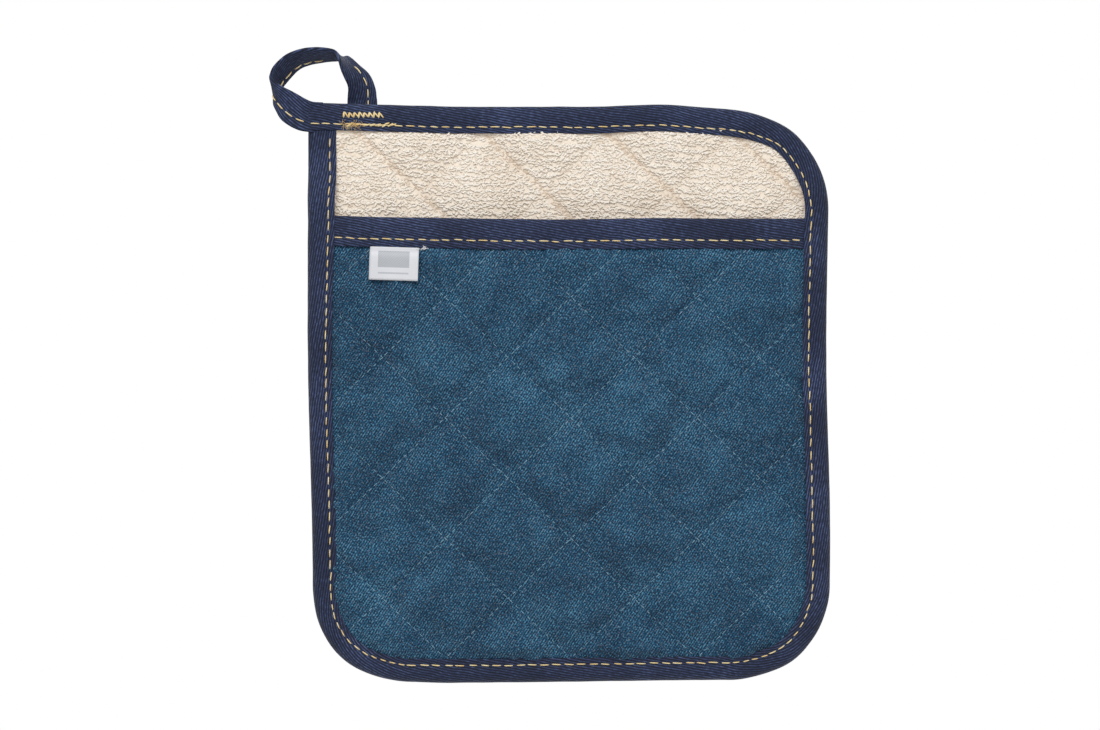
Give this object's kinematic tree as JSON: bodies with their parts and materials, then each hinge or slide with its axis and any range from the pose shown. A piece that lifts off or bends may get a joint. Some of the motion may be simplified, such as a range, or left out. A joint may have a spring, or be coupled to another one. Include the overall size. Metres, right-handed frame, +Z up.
{
  "type": "pocket pot holder",
  "caption": "Square quilted pocket pot holder in blue denim and cream terry, bound with navy tape and hung by a tape loop.",
  "frame": {"origin": "where a hook bears inside the hanging loop", "axes": "+X to the right seen from the pocket side, +Y out of the plain back, +Z up with the loop at the top"},
  "size_m": [0.2333, 0.0285, 0.2642],
  "materials": {
    "denim": "washed blue twill denim, slightly fuzzy, with paler weft flecks",
    "batting": "matt white cotton wadding",
    "terry": "cream cotton terry, all matt loops",
    "binding_tape": "navy twill tape with fine slanting ribs",
    "gold_thread": "golden yellow sewing thread with a soft sheen",
    "quilting_thread": "thin pale blue sewing thread",
    "label_satin": "white woven satin with a soft sheen"
  },
  "bodies": {
    "mitt": {"back_denim": "denim", "back_batting": "batting", "back_terry": "terry", "front_denim": "denim", "front_batting": "batting", "front_terry": "terry", "edge_binding": "binding_tape", "pocket_binding": "binding_tape", "loop_tail": "binding_tape", "edge_topstitch_front": "gold_thread", "edge_topstitch_back": "gold_thread", "pocket_topstitch": "gold_thread", "front_quilting_thread": "quilting_thread", "tack_zigzag_front": "gold_thread", "tack_zigzag_back": "gold_thread"},
    "hang_loop": {"hang_loop": "binding_tape", "loop_topstitch_outer": "gold_thread", "loop_topstitch_inner": "gold_thread"},
    "label": {"label": "label_satin"}
  },
  "joints": [
    {"name": "loop_fold", "type": "hinge", "parent": "mitt", "child": "hang_loop", "pos_m": [0, 0.00735, -0.0169], "axis": [1, 0, 0], "range_deg": [-90, 65], "stiffness_Nm_per_rad": 0.003},
    {"name": "label_flip", "type": "hinge", "parent": "mitt", "child": "label", "pos_m": [0.0291, -0.01078, -0.0775], "axis": [-0.9907, 0.1363, 0], "range_deg": [0, 160]}
  ]
}
